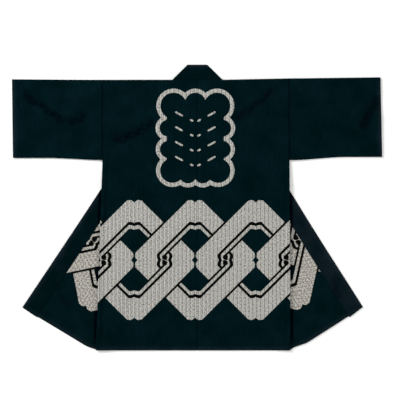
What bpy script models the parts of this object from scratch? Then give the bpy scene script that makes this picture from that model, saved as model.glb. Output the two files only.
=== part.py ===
"""Happi coat of narrow-loom cotton, laid flat on its front with the back upwards.

Both fronts are folded outwards beneath the back, so that their outer face shows on either
side of the hem. Every piece is the one a maker cuts: a body length on each side that runs
from the back hem over the shoulder to the front hem, two straight sleeves, and the collar
band, built as the stretch round the neck and the run down each front edge.

Frame: +X to the right of the lying coat, +Y towards the collar, +Z up. The origin is under
the middle of the coat, on the surface that it lies on. Metres.
"""

import math
from collections import namedtuple

import bmesh
import bpy
import numpy as np

# Cloth and seams
CLOTH = 0.0015             # thickness of the cotton wall
GAP = 0.0003               # clearance between pieces and between layers
LAYER = CLOTH + GAP        # from one layer's middle to the next one's
FOLD_RADIUS = LAYER / 2    # middle line of a pressed fold
FOLD_REACH = FOLD_RADIUS + CLOTH / 2
FOLD_ARC = math.pi * FOLD_RADIUS
FOLD_STEPS = 4             # facets round a fold
FLAT_COLUMNS = 7           # grid of a front: lines across the part under the back,
TURNED_COLUMNS = 7         # and across the part turned outwards
FOLD_TIP = 0.008           # a front's fold is at its full roundness this far below its tip

# Coat as a whole
HEM = -0.4995              # back hem
COLLAR_TOP = 0.4992        # free edge of the collar at the neck
COLLAR_WIDTH = 0.0575      # collar band on the fronts
NECK_RISE = 0.009          # neck seam above the shoulder fold
NECK_CORNER = 0.003        # the back's neck edge stays this clear of the collar's own fold
NECK_SET = 0.0003          # the neck band starts this far above its seam, as its wall leans back
FRONT_HEM_LIFT = 0.013     # front hem curves up this much towards the side seam
FRONT_LIFT_WIDTH = 0.070   # width of that curve

# How the back settles on the floor between the two folded fronts
SETTLE_MARGIN = 0.006      # flat strip beside the fold of a front
SETTLE_WIDTH = 0.060       # width of the slope
SETTLE_START = 0.030       # the slope starts this far below the shoulder
SETTLE_LENGTH = 0.120      # and is complete this much further down
SLEEVE_SETTLE = 0.080      # a sleeve comes down to the floor over this length

# Where a collar run starts, and how fast a sleeve's lower corner reaches its level
RUN_START = 0.018          # its free edge starts this far below the neck point
CORNER_RATE = 1.6          # in sleeve lengths, so the corner is done at 1 / 1.6 of the sleeve
LEAST_FLAT = 0.006         # least width of a front that stays under the back
SLOPE_SHARE = 0.9          # the slope takes at most this part of the room beside the fold

# Turned-under return of the collar at each end of the neck
RETURN_AT_SEAM = 0.090
RETURN_AT_EDGE = 0.012

# The two sides differ a little, as laid. Distances go outwards from the centre back seam,
# heights are from the middle of the coat, and spread is the angle of a front edge, degrees.
Side = namedtuple(
    "Side",
    "name sign neck armhole cuff_top cuff_low y_neck y_armhole y_cuff under_cuff under_arm "
    "side_hem spread front_hem front_tilt collar_end_seam collar_end_edge",
)
SIDES = (
    Side("left", -1, 0.0863, 0.3302, 0.6473, 0.6436, 0.4470, 0.4470, 0.4491, 0.1733, 0.1660,
         0.3480, 33.4, -0.5217, 0.040, -0.5242, -0.5236),
    Side("right", 1, 0.0887, 0.3229, 0.6414, 0.6473, 0.4470, 0.4519, 0.4557, 0.1768, 0.1656,
         0.3300, 31.8, -0.5050, -0.012, -0.5095, -0.5036),
)

# Finishes: base colour (linear), roughness
INDIGO_CLOTH = ("indigo cotton", (0.0018, 0.0080, 0.0110, 1.0), 0.92)
COLLAR_CLOTH = ("indigo collar cotton", (0.0040, 0.0090, 0.0120, 1.0), 0.90)


def smooth(value):
    """Smooth step from 0 to 1 as the value goes from 0 to 1."""
    value = np.clip(value, 0.0, 1.0)
    return value * value * (3.0 - 2.0 * value)


def level(number):
    """Middle height of a layer, counted from 1 on the floor."""
    return CLOTH / 2 + (number - 1) * LAYER


def shoulder(side, across):
    """Height of the shoulder fold at a distance from the centre back seam."""
    stations = (side.neck, side.armhole, side.cuff_top)
    return np.interp(across, stations, (side.y_neck, side.y_armhole, side.y_cuff))


def side_edge(side, height):
    """Distance of the body's side edge from the centre, straight from underarm to hem."""
    return np.interp(height, (HEM, side.under_arm), (side.side_hem, side.armhole))


def turn_line(side):
    """Point high on the line where a front turns under, and half the angle of spread.

    The free edge of the collar hangs straight down before the turn, and passes the neck
    point at the angle of spread after it, so the line halves the angle between them.
    """
    free = side.neck - COLLAR_WIDTH
    apex = side.y_neck + COLLAR_WIDTH / math.tan(math.radians(side.spread))
    return free, apex, math.radians(side.spread) / 2


def turn_edge(side, height):
    """Distance of the turning line from the centre at a height."""
    free, apex, half = turn_line(side)
    return free + (apex - height) * math.tan(half)


def fold_under(plan, foot, outward, top):
    """Fold a flat layout under along a line: a half circle, then back below itself.

    plan is an array of x, y; the line passes through foot, and outward is its unit normal.
    Whatever lies past the line ends one layer lower, mirrored in it.
    """
    past = (plan - foot) @ outward + FOLD_REACH
    turn = np.clip(past, 0.0, FOLD_ARC) / FOLD_RADIUS
    beyond = np.maximum(past - FOLD_ARC, 0.0)
    along = np.minimum(past, 0.0) + FOLD_RADIUS * np.sin(turn) - beyond
    moved = plan + np.outer(along - past, outward)
    height = top - FOLD_RADIUS * (1.0 - np.cos(turn))
    return np.column_stack((moved, height))


def turn_front_under(side, across, height, top):
    """Place points of a front, given before the turn, as they lie after it."""
    free, apex, half = turn_line(side)
    plan = np.column_stack((np.ravel(across), np.ravel(height)))
    outward = np.array((-math.cos(half), -math.sin(half)))
    placed = fold_under(plan, np.array((free, apex)), outward, top)
    return placed.reshape(np.shape(across) + (3,))


def front_hem(side, across):
    """Hem of a front before the turn: nearly level, curving up to the side seam."""
    lift = smooth((across - side.side_hem + FRONT_LIFT_WIDTH) / FRONT_LIFT_WIDTH)
    return side.front_hem + side.front_tilt * (across - side.neck) + FRONT_HEM_LIFT * lift


def grid_faces(index, flip):
    """Quads of a grid of vertex numbers."""
    faces = []
    for row in range(index.shape[0] - 1):
        for column in range(index.shape[1] - 1):
            quad = (
                index[row, column],
                index[row, column + 1],
                index[row + 1, column + 1],
                index[row + 1, column],
            )
            faces.append(tuple(int(vertex) for vertex in (reversed(quad) if flip else quad)))
    return faces


def cloth_object(name, points, faces, material, collection):
    """One piece of cloth: an open sheet of points and quads, given its wall by Solidify.

    Points that the tip of a fold brings together are merged.
    """
    mesh = bpy.data.meshes.new(name)
    mesh.from_pydata(points.tolist(), [], faces)
    sheet = bmesh.new()
    sheet.from_mesh(mesh)
    bmesh.ops.remove_doubles(sheet, verts=sheet.verts, dist=0.00002)
    sheet.to_mesh(mesh)
    sheet.free()
    mesh.materials.append(material)
    piece = bpy.data.objects.new(name, mesh)
    collection.objects.link(piece)
    wall = piece.modifiers.new("cloth wall", "SOLIDIFY")
    wall.thickness = CLOTH
    wall.offset = 0.0
    wall.use_even_offset = True
    wall.use_quality_normals = True
    return piece


def body_back(side):
    """Grid of the back: rows from hem to shoulder, columns from centre seam to side edge.

    Columns follow the fold of the front below, so that the slope where the back settles on
    the floor starts clear of it. Returns the points and the column that meets the neck.
    """
    below_arm = np.linspace(HEM, side.under_arm, 11)
    height = np.concatenate((below_arm, np.linspace(side.under_arm, side.y_neck, 5)[1:]))
    rows = (height - HEM) / (side.y_neck - HEM)
    outer = side_edge(side, height)
    ledge = turn_edge(side, height) - SETTLE_MARGIN
    slope = np.minimum(SETTLE_WIDTH, SLOPE_SHARE * ledge)
    top_outer, top_ledge = outer[-1], ledge[-1]
    share = (side.neck - top_ledge) / (top_outer - top_ledge)
    middle = ledge + share * (outer - ledge)
    corner = (side.neck - NECK_CORNER - NECK_RISE - top_ledge) / (side.neck - top_ledge)
    columns = []
    sunk = []
    for part in (0.0, 0.35, 0.7):
        columns.append(GAP / 2 + part * (ledge - slope - GAP / 2))
        sunk.append(1.0)
    for part in (0.0, 0.25, 0.5, 0.75, 1.0):
        columns.append(ledge - slope + part * slope)
        sunk.append(1.0 - float(smooth(part)))
    for part in (corner, 1.0):
        columns.append(ledge + part * (middle - ledge))
        sunk.append(0.0)
    neck_column = len(columns) - 1
    for part in np.linspace(0.0, 1.0, FLAT_COLUMNS)[1:]:
        columns.append(middle + part * (outer - middle))
        sunk.append(0.0)
    across = np.column_stack(columns)
    top = shoulder(side, across[-1]) - FOLD_REACH
    rise = np.minimum(NECK_RISE, side.neck - NECK_CORNER - across[-1])
    neck_edge = side.y_neck + rise - GAP / 2
    inside = np.arange(across.shape[1]) < neck_column
    top = np.where(inside, neck_edge, top)
    up = HEM + rows[:, None] * (top[None, :] - HEM)
    settle = smooth((side.y_neck - SETTLE_START - up) / SETTLE_LENGTH) * np.array(sunk)[None, :]
    z = level(3) - 2 * LAYER * settle
    return np.stack((across, up, z), axis=-1), neck_column


def body_front(side, top_across):
    """Grid of a front: rows from shoulder to hem, columns from side edge to front edge.

    The grid is laid out as if the front lay straight below the back, and is then turned
    under along the line from the neck to the corner of the hem.
    """
    free, apex, half = turn_line(side)
    edge = side.neck + GAP / 2
    meet = apex - (edge - free) / math.tan(half)
    top = float(np.mean(shoulder(side, top_across))) - FOLD_REACH
    chest = np.linspace(meet - FOLD_TIP, side.under_arm, 4)
    rows = np.concatenate((np.linspace(top, meet, 3), chest, np.linspace(side.under_arm, HEM, 9)[1:]))
    is_flat = np.arange(FLAT_COLUMNS + FOLD_STEPS + TURNED_COLUMNS) < FLAT_COLUMNS
    flat_share = np.concatenate((np.linspace(0, 1, FLAT_COLUMNS), np.ones(FOLD_STEPS + TURNED_COLUMNS)))
    steps = np.linspace(0, 1, FOLD_STEPS + 1)[1:]
    arc_share = np.concatenate((np.zeros(FLAT_COLUMNS), steps, np.ones(TURNED_COLUMNS)))
    turned_steps = np.linspace(0, 1, TURNED_COLUMNS + 1)[1:]
    turned_share = np.concatenate((np.zeros(FLAT_COLUMNS + FOLD_STEPS), turned_steps))
    columns = []
    for number, height in enumerate(rows):
        up = np.full(FLAT_COLUMNS + FOLD_STEPS + TURNED_COLUMNS, height)
        for _ in range(4):
            turn = turn_edge(side, up)
            most = (turn - edge) * math.cos(half)
            arc = -FOLD_REACH + FOLD_ARC * arc_share
            past = np.where(turned_share > 0.0, arc[-1] + (most - arc[-1]) * turned_share, arc)
            past = np.minimum(past, most)
            inner = turn + np.maximum(FOLD_REACH, -most) / math.cos(half)
            outer = np.maximum(side_edge(side, up), turn + LEAST_FLAT)
            flat = outer + (inner - outer) * flat_share
            across = np.where(is_flat, flat, turn - past / math.cos(half))
            if number == 0:
                across[:FLAT_COLUMNS] = top_across[::-1]
            start = shoulder(side, across) - FOLD_REACH
            if height > meet:
                share = (height - top) / (meet - top)
                up = start + share * (meet - start)
            else:
                share = (height - meet) / (HEM - meet)
                up = meet + share * (front_hem(side, across) - meet)
        columns.append((across, up))
    across = np.array([row[0] for row in columns])
    up = np.array([row[1] for row in columns])
    return turn_front_under(side, across, up, level(2))


def build_body(side, material, collection):
    """Body length of one side: back, fold over the shoulder, and turned-under front."""
    back, neck_column = body_back(side)
    top_row = back[-1, neck_column:]
    front = body_front(side, top_row[:, 0])
    arc = []
    for step in range(1, FOLD_STEPS):
        turn = math.pi * step / FOLD_STEPS
        ring = top_row.copy()
        ring[:, 1] += FOLD_RADIUS * math.sin(turn)
        ring[:, 2] -= FOLD_RADIUS * (1.0 - math.cos(turn))
        arc.append(ring)
    shoulder_fold = np.array(arc)
    points = np.concatenate([part.reshape(-1, 3) for part in (back, shoulder_fold, front)])
    points[:, 0] *= side.sign
    back_index = np.arange(back.shape[0] * back.shape[1]).reshape(back.shape[:2])
    fold_start = back_index.size
    fold_index = fold_start + np.arange(shoulder_fold[..., 0].size).reshape(shoulder_fold.shape[:2])
    front_start = fold_start + fold_index.size
    front_index = front_start + np.arange(front[..., 0].size).reshape(front.shape[:2])
    flip = side.sign < 0
    faces = grid_faces(back_index, flip)
    joined = np.vstack((
        back_index[-1:, neck_column:],
        fold_index,
        front_index[:1, :top_row.shape[0]][:, ::-1],
    ))
    faces += grid_faces(joined, flip)
    faces += grid_faces(front_index[:, ::-1], flip)
    return cloth_object("body_" + side.name, points, faces, material, collection)


def build_sleeve(side, material, collection):
    """Sleeve: a flattened tube, folded along the top and seamed along the underside."""
    start = side.armhole + GAP
    parts = np.array((0.0, 0.04, 0.1, 0.17, 0.25, 0.4, 0.6, 0.8, 1.0))
    layer_steps = np.linspace(0.0, 1.0, 6)
    rings = []
    for part in parts:
        across = start + part * (side.cuff_top - start)
        high = float(shoulder(side, across)) - FOLD_REACH
        corner = 1.0 - float(smooth(part * CORNER_RATE))
        low = side.under_cuff + (side.under_arm - side.under_cuff) * corner + FOLD_REACH
        ring = []
        for step in layer_steps:
            ring.append((low + step * (high - low), 0.0))
        for step in range(1, FOLD_STEPS):
            turn = math.pi * step / FOLD_STEPS
            ring.append((high + FOLD_RADIUS * math.sin(turn), FOLD_RADIUS * (1 - math.cos(turn))))
        for step in layer_steps[::-1]:
            ring.append((low + step * (high - low), LAYER))
        for step in range(1, FOLD_STEPS):
            turn = math.pi * step / FOLD_STEPS
            ring.append((low - FOLD_RADIUS * math.sin(turn), FOLD_RADIUS * (1 + math.cos(turn))))
        ring = np.array(ring)
        lean = (ring[:, 0] - side.under_cuff) / (side.y_cuff - side.under_cuff)
        end = side.cuff_low + (side.cuff_top - side.cuff_low) * lean
        x = start + part * (end - start)
        settled = LAYER * float(smooth((across - start) / SLEEVE_SETTLE))
        rings.append(np.column_stack((x, ring[:, 0], level(3) - ring[:, 1] - settled)))
    tube = np.array(rings)
    points = tube.reshape(-1, 3)
    points[:, 0] *= side.sign
    index = np.arange(points.shape[0]).reshape(tube.shape[:2])
    index = np.hstack((index, index[:, :1]))
    faces = grid_faces(index, side.sign > 0)
    return cloth_object("sleeve_" + side.name, points, faces, material, collection)


def build_collar_run(side, material, collection):
    """Collar on one front edge: a straight run, laid out before the turn and turned under."""
    free, apex, half = turn_line(side)
    seam = side.neck - GAP / 2
    top_seam = apex - (side.neck - free) / math.tan(half) - 2 * FOLD_TIP
    top_free = side.y_neck - RUN_START
    widths = np.linspace(0.0, 1.0, 4)
    across = seam + (free - seam) * widths
    start = top_seam + (top_free - top_seam) * widths
    end = side.collar_end_seam + (side.collar_end_edge - side.collar_end_seam) * widths
    length = np.linspace(0.0, 1.0, 11)[:, None]
    up = start + length * (end - start)
    points = turn_front_under(side, np.broadcast_to(across, up.shape), up, level(2))
    shape = points.shape[:2]
    points = points.reshape(-1, 3)
    points[:, 0] *= side.sign
    faces = grid_faces(np.arange(points.shape[0]).reshape(shape), side.sign > 0)
    return cloth_object("collar_" + side.name, points, faces, material, collection)


def build_collar_neck(material, collection):
    """Collar round the neck: a band standing above the neck seam, turned under at each end.

    Rows go from the seam to the free edge. Each end folds under along a slope of 45 degrees,
    which sends it straight down towards the front edge.
    """
    rows = np.linspace(0.0, 1.0, 5)
    halves = []
    for side in SIDES:
        seam = side.y_neck + NECK_RISE + NECK_SET
        up = seam + rows * (COLLAR_TOP - seam)
        foot = np.array((side.neck, side.y_neck))
        outward = np.array((math.sqrt(0.5), math.sqrt(0.5)))
        slant = side.neck - (up - side.y_neck)
        flat = slant - FOLD_REACH / outward[0]
        columns = [part * flat for part in (0.0, 0.35, 0.7, 1.0)]
        for step in range(1, FOLD_STEPS + 1):
            reach = -FOLD_REACH + FOLD_ARC * step / FOLD_STEPS
            columns.append(slant + reach / outward[0])
        length = RETURN_AT_SEAM + rows * (RETURN_AT_EDGE - RETURN_AT_SEAM)
        for part in (0.25, 0.6, 1.0):
            columns.append(slant + (FOLD_ARC - FOLD_REACH) / outward[0] + part * length)
        across = np.column_stack(columns)
        height = np.broadcast_to(up[:, None], across.shape)
        plan = np.column_stack((across.ravel(), height.ravel()))
        placed = fold_under(plan, foot, outward, level(3)).reshape(across.shape + (3,))
        base = side.y_neck + NECK_RISE
        placed[..., 2] -= LAYER * smooth((placed[..., 1] - base) / (COLLAR_TOP - base))
        placed[..., 0] *= side.sign
        halves.append(placed)
    band = np.concatenate((halves[0][:, :0:-1], halves[1]), axis=1)
    middle = halves[0].shape[1] - 1
    band[:, middle] = (halves[0][:, 0] + halves[1][:, 0]) / 2
    points = band.reshape(-1, 3)
    faces = grid_faces(np.arange(points.shape[0]).reshape(band.shape[:2]), False)
    return cloth_object("collar_neck", points, faces, material, collection)


def make_material(name, colour, roughness):
    """Principled material with one colour and roughness."""
    material = bpy.data.materials.new(name)
    material.use_nodes = True
    shader = material.node_tree.nodes["Principled BSDF"]
    shader.inputs["Base Color"].default_value = colour
    shader.inputs["Roughness"].default_value = roughness
    shader.inputs["Metallic"].default_value = 0.0
    material.diffuse_color = colour
    return material


def main():
    """Clear the scene and build the coat's pieces in their own collection."""
    for old in list(bpy.data.objects):
        bpy.data.objects.remove(old, do_unlink=True)
    collection = bpy.data.collections.new("Happi coat")
    bpy.context.scene.collection.children.link(collection)
    indigo = make_material(*INDIGO_CLOTH)
    collar = make_material(*COLLAR_CLOTH)
    for side in SIDES:
        build_body(side, indigo, collection)
        build_sleeve(side, indigo, collection)
        build_collar_run(side, collar, collection)
    build_collar_neck(collar, collection)


main()
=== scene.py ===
"""Happi coat of indigo-dyed cotton, laid flat with its back up and its fronts turned out.

Every piece of cloth is a thin shell worked out on a grid from the coat's own cut: the flat
cut is laid out, its folds are turned, and soft creases are added to all layers together.
The resist-dyed pattern is drawn in the materials from the cut's own coordinates.
"""

import math
from collections import namedtuple

import bmesh
import bpy
import numpy as np
from bpy.props import FloatProperty, IntProperty, PointerProperty, StringProperty
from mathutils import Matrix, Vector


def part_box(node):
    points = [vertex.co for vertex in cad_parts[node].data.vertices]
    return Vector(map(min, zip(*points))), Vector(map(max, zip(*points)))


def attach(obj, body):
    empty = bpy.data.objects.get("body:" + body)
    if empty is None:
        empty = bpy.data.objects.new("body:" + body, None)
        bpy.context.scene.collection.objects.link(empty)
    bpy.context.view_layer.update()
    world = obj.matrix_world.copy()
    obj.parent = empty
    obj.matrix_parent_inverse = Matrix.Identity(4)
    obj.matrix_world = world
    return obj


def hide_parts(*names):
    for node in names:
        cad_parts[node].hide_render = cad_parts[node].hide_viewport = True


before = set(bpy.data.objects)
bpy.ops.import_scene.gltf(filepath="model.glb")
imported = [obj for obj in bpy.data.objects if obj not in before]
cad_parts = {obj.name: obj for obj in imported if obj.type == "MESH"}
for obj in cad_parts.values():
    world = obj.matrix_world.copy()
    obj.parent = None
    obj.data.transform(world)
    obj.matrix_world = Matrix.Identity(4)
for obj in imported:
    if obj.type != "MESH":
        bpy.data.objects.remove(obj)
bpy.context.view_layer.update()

bl_info = {
    "name": "Happi coat",
    "version": (1, 0, 0),
    "blender": (4, 5, 0),
    "location": "3D View > Sidebar > Happi coat",
    "description": "Builds a cotton happi coat that lies flat with its fronts turned out",
    "category": "Mesh",
}

# Heights of the layers, as in the model that holds the sizes
CAD_WALL = 0.0015          # wall of each cloth solid
LAYER = 0.0018             # from one layer's middle to the next one's
FOLD_RADIUS = LAYER / 2    # middle line of a pressed fold
FOLD_ARC = math.pi * FOLD_RADIUS
FOLD_REACH = FOLD_RADIUS + CAD_WALL / 2
GAP = 0.0003               # clearance at seams
FOLD_TIP = 0.008           # a front's fold is fully round this far below its tip
LEAST_FLAT = 0.006         # and what stays flat beside it is at least this wide

# The coat's outline, read from its solids, and its collar
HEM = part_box("body_left")[0][1]
COLLAR_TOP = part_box("collar_neck")[1][1]
COLLAR_WIDTH = 0.0575
NECK_RISE = 0.009          # the neck seam is this far above the neck points
NECK_LAP = 0.007           # the neck band covers its seam by this much

# Distances over which one form passes into the next
FRONT_HEM_LIFT = 0.012     # a front's hem curves up by this much at its side seam
FRONT_LIFT_WIDTH = 0.070
SETTLE_MARGIN = 0.006      # the back sinks from this far inside a front's turning line
SETTLE_WIDTH = 0.060
SETTLE_START = 0.030       # and from this far below the neck point
SETTLE_LENGTH = 0.120
SLEEVE_SETTLE = 0.080      # a sleeve comes down to the floor over this distance
BOW_LENGTH = 1.120         # a front's bow spans this length from the neck point
BOW_REACH = 0.250          # and fades over this distance from the edge
COLLAR_CLIMB = 0.030       # cloth climbs a collar run from this far outside it
COLLAR_DESCENT = 0.025     # and comes down over this distance inside it

# Measures of both sides. Distances are outwards from the centre back seam, and heights are
# from the middle of the coat.
MEASURES = {
    "name": ("left", "right"),
    "sign": (-1, 1),
    "neck": (0.0863, 0.0887),
    "armhole": (-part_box("sleeve_left")[1][0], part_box("sleeve_right")[0][0]),
    "cuff_top": (0.6473, 0.6414),
    "cuff_low": (0.6436, 0.6473),
    "y_neck": (0.4470, 0.4470),         # the shoulder fold's height at each station
    "y_armhole": (0.4470, 0.4519),
    "y_cuff": (0.4491, 0.4557),
    "under_cuff": (0.1733, 0.1768),     # the sleeve's underside
    "under_arm": (0.1660, 0.1656),
    "side_hem": (0.3530, 0.3262),
    "spread": (33.4, 31.8),             # angle of spread of a front edge, in degrees
    "front_hem": (-0.5217, -0.5050),    # height of a front's hem in line with the neck point
    "front_tilt": (0.040, -0.012),      # and its slope from there to the side seam
    "collar_end_seam": (-0.5242, -0.5095),    # a collar run's end at its seam and free edge
    "collar_end_edge": (-0.5236, -0.5036),
    "link_x": (0.2126, 0.2073),         # place of a link of the chain on a front
    "link_y": (-0.1946, -0.1830),
    "bow": (0.0024, 0.0048),            # how far a turned-out edge curves in at the middle
    "collar_lap": (0.0040, 0.0015),     # how far the collar covers its seam
    "collar_fade": (-0.30, 0.22),       # how far the collar has worn, deeper dyed below 0
    "allowance_shade": (0.50, 0.20),    # how strongly the side seam's allowance shows as painted shade
}
Side = namedtuple("Side", MEASURES)
SIDES = [Side(*values) for values in zip(*MEASURES.values())]

# Seams: share of the seam dip and the width of the dip, then strength and width of the
# painted shade in its ditch
Seam = namedtuple("Seam", "dip dip_width shade shade_width")
CENTRE_SEAM = Seam(1.0, 0.0035, 0.35, 0.0016)
ARMHOLE_SEAM = Seam(0.7, 0.0040, 0.70, 0.0025)
SEAM_ALLOWANCE = 0.0155    # of the side seam, pressed towards the back
ALLOWANCE_EDGE = 0.0035    # width of the shade along the allowance's edge
DITCH_WIDTH = 0.0050       # width of the painted shadow beside the back's side edge
ROLL_WIDTH = 0.0110        # width over which that edge stands up

# Puckers beside a line of stitches
Pucker = namedtuple("Pucker", "height pitch")
SEAM_PUCKER = Pucker(0.00018, 0.0125)
COLLAR_PUCKER = Pucker(0.00012, 0.0110)

HOLLOW_SHADE = 0.85        # strength of the shade painted into the trough of a crease
HOLLOW_DEPTH = 0.0026      # a trough this deep gets that painted shade in full
NECK_FADE = -0.40          # as collar_fade, for the band round the neck

# Grids of the collar
COLLAR_START = 0.018       # a run's free edge starts this far below the neck point
COLLAR_CELL = 0.0025       # size of a mesh cell across the band
COLLAR_RUN = 0.95          # about the length of a run
PRESSED_END = 0.004        # a run is pressed thin over this distance at its ends
NECK_ROWS = 20
NECK_COLUMNS = 24
TAIL_COLUMNS = 22
TAIL_LENGTHS = (0.090, 0.012)    # of the neck band's turned end, at its seam and its top
NECK_PLUMP = 0.0012        # the doubled neck band stands this much proud

CREASE_BOW = 0.06          # a crease bows by this share of its length
CREASE_FADE = 0.35         # and fades over this share of it at each end
RELIEF_EASE = 0.0004       # troughs ease out this near to the floor

# Creases in the lying coat, from one end to the other: width of the soft edge and height,
# a trough where the height is negative. They run through all layers. Metres.
Crease = namedtuple("Crease", "x0 y0 x1 y1 width height")
CREASES = [Crease(*row) for row in (
    # left sleeve: one long bent trough from the cuff, with a ridge on each side
    (-0.612, 0.402, -0.538, 0.344, 0.016, -0.0026),
    (-0.548, 0.350, -0.462, 0.298, 0.020, -0.0028),
    (-0.452, 0.290, -0.384, 0.326, 0.018, -0.0023),
    (-0.575, 0.352, -0.490, 0.290, 0.020, 0.0014),
    (-0.520, 0.378, -0.430, 0.334, 0.022, 0.0016),
    (-0.600, 0.255, -0.470, 0.218, 0.024, 0.0012),
    # right sleeve, near the cuff
    (0.572, 0.276, 0.604, 0.318, 0.017, -0.0026),
    (0.598, 0.312, 0.638, 0.392, 0.018, -0.0022),
    (0.628, 0.276, 0.640, 0.330, 0.016, 0.0014),
    (0.372, 0.360, 0.470, 0.392, 0.026, 0.0014),
    (0.470, 0.250, 0.540, 0.290, 0.020, 0.0010),
    # upper back, on both sides of the emblem
    (-0.296, 0.230, -0.200, 0.262, 0.019, -0.0024),
    (-0.214, 0.256, -0.146, 0.306, 0.020, -0.0022),
    (-0.280, 0.285, -0.190, 0.320, 0.022, 0.0013),
    (0.118, 0.302, 0.214, 0.360, 0.017, -0.0020),
    (0.206, 0.356, 0.272, 0.418, 0.017, -0.0022),
    (0.190, 0.300, 0.290, 0.372, 0.022, 0.0013),
    (0.120, 0.120, 0.270, 0.060, 0.030, 0.0012),
    (-0.250, 0.080, -0.140, 0.020, 0.036, -0.0010),
    # below the underarms
    (-0.318, 0.150, -0.262, 0.030, 0.014, 0.0016),
    (0.314, 0.150, 0.256, 0.046, 0.015, 0.0018),
    # lower back
    (-0.060, -0.330, -0.190, -0.455, 0.030, 0.0012),
    (0.080, -0.320, 0.170, -0.460, 0.026, 0.0014),
    # turned-out fronts
    (-0.470, -0.190, -0.400, -0.400, 0.020, 0.0016),
    (-0.500, -0.260, -0.450, -0.360, 0.017, -0.0014),
    (-0.380, -0.060, -0.420, -0.170, 0.016, 0.0014),
    (0.470, -0.240, 0.500, -0.330, 0.017, -0.0016),
    (0.440, -0.200, 0.400, -0.390, 0.020, 0.0016),
    (0.360, -0.050, 0.400, -0.160, 0.016, 0.0015),
)]

# Emblem on the upper back: round lobes of a plaque and the short dashes in it. One half is
# given and is mirrored. Sizes from the plaque's centre, in metres.
Lobe = namedtuple("Lobe", "x y radius")
EMBLEM_LOBES = (
    Lobe(0.000, 0.122, 0.050),
    Lobe(0.076, 0.112, 0.060),
    Lobe(0.096, 0.034, 0.043),
    Lobe(0.094, -0.040, 0.044),
    Lobe(0.080, -0.114, 0.057),
    Lobe(0.026, -0.130, 0.043),
)
Dash = namedtuple("Dash", "x0 y0 x1 y1 radius")
EMBLEM_DASHES = [
    Dash(x0, y0 + rise, x1, y1 + rise, radius)
    for rise in (0.000, 0.052, 0.104, 0.156)
    for x0, y0, x1, y1, radius in (
        (0.046, -0.078, 0.068, -0.066, 0.0032),
        (0.010, -0.096, 0.016, -0.093, 0.0034),
    )
]
EMBLEM_CORE = (0.114, 0.142)   # half width and half height of the plaque between its lobes


# ---------------- sizes and colours

def length(name, default, description):
    """Property for a length in metres."""
    return FloatProperty(name=name, description=description, default=default, unit="LENGTH")


def tint(name, default, description):
    """Property for a colour, as an sRGB hex value."""
    return StringProperty(name=name, description=description, default=default)


class HappiSizes(bpy.types.PropertyGroup):
    """Sizes of the cloth and its pattern."""

    cloth: length("Cloth", 0.0011, "Thickness of one layer of cotton")
    collar: length("Collar", 0.0026, "Thickness of the doubled collar")
    cell: length("Mesh cell", 0.0035, "Size of a mesh cell on what shows")
    hem: length("Hem", 0.016, "Width of the turned hem")
    swell: length("Swell", 0.0026, "Height of the slow waves in the lying cloth")
    seam_dip: length("Seam dip", 0.0008, "Depth that the cloth is drawn in along a seam")
    side_roll: length("Side roll", 0.0045, "Height that the back's side edge stands up")
    thread: length("Thread", 0.0011, "Spacing of the woven threads")
    link_pitch: length("Link pitch", 0.2125, "Distance between links of the chain")
    link_y: length("Chain height", -0.1834, "Height of the chain's middle line on the back")
    link_x: length("Chain place", -0.0072, "Place of the middle link on the back")
    emblem_x: length("Emblem place", -0.0060, "Place of the emblem across the back")
    emblem_y: length("Emblem height", 0.2436, "Height of the emblem's centre")
    emblem_stroke: length("Emblem stroke", 0.0140, "Width of the emblem's outline")
    fold_steps: IntProperty(name="Fold steps", description="Facets round a fold", default=6)


class HappiColours(bpy.types.PropertyGroup):
    """Colours as sRGB hex values."""

    indigo: tint("Indigo", "#000F12", "Deep-dyed cloth")
    indigo_light: tint("Worn indigo", "#041A1F", "Dye where it is thinner")
    pale: tint("Resist", "#9B9A95", "Undyed cloth of the pattern")
    pale_mark: tint("Resist marks", "#6C6963", "Fine marks in the pattern")
    pale_high: tint("Resist clean", "#B8B8B1", "Cleanest undyed cloth")
    pale_warm: tint("Resist on fronts", "#97928A", "Undyed cloth of the fronts")
    # Painted shade, laid into seam ditches, crease troughs and beside the back's side edge
    painted_shade: tint("Seam shade", "#000208", "Unfaded dye in the ditch of a seam")
    collar_light: tint("Worn collar", "#121B22", "Collar cloth where it has faded")
    ink: tint("Solid dye", "#040605", "Lines inside the pattern")
    worn_edge: tint("Worn edge", "#1B232B", "Dye rubbed off along the hems")
    floor: tint("Floor", "#F7F7F6", "Plain pale floor")


# ---------------- the coat's shape

def smooth(value):
    """Smooth step: 3 v squared minus 2 v cubed, from 0 to 1."""
    value = np.clip(value, 0.0, 1.0)
    return value * value * (3.0 - 2.0 * value)


def bell(distance, width):
    """Bell curve of a distance: 1 at 0, falling as exp(-(d/w) squared)."""
    return np.exp(-np.square(distance / width))


def shares(count):
    """Even shares from 0 to 1."""
    return np.linspace(0.0, 1.0, count)


def level(number):
    """Middle height of a layer, counted from 1 on the floor."""
    return CAD_WALL / 2 + (number - 1) * LAYER


def shoulder(side, across):
    """Height of the shoulder fold at a distance from the centre, straight between stations."""
    stations = (side.neck, side.armhole, side.cuff_top)
    return np.interp(across, stations, (side.y_neck, side.y_armhole, side.y_cuff))


def side_edge(side, height):
    """Distance of the body's side edge from the centre, straight from underarm to hem."""
    return np.interp(height, (HEM, side.under_arm), (side.side_hem, side.armhole))


def turn_line(side):
    """Top point of the line that a front turns under along, and half the angle of spread."""
    free = side.neck - COLLAR_WIDTH
    apex = side.y_neck + COLLAR_WIDTH / math.tan(math.radians(side.spread))
    return free, apex, math.radians(side.spread) / 2


def turn_edge(side, height):
    """Distance of the turning line from the centre at a height."""
    free, apex, half = turn_line(side)
    return free + (apex - height) * math.tan(half)


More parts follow.
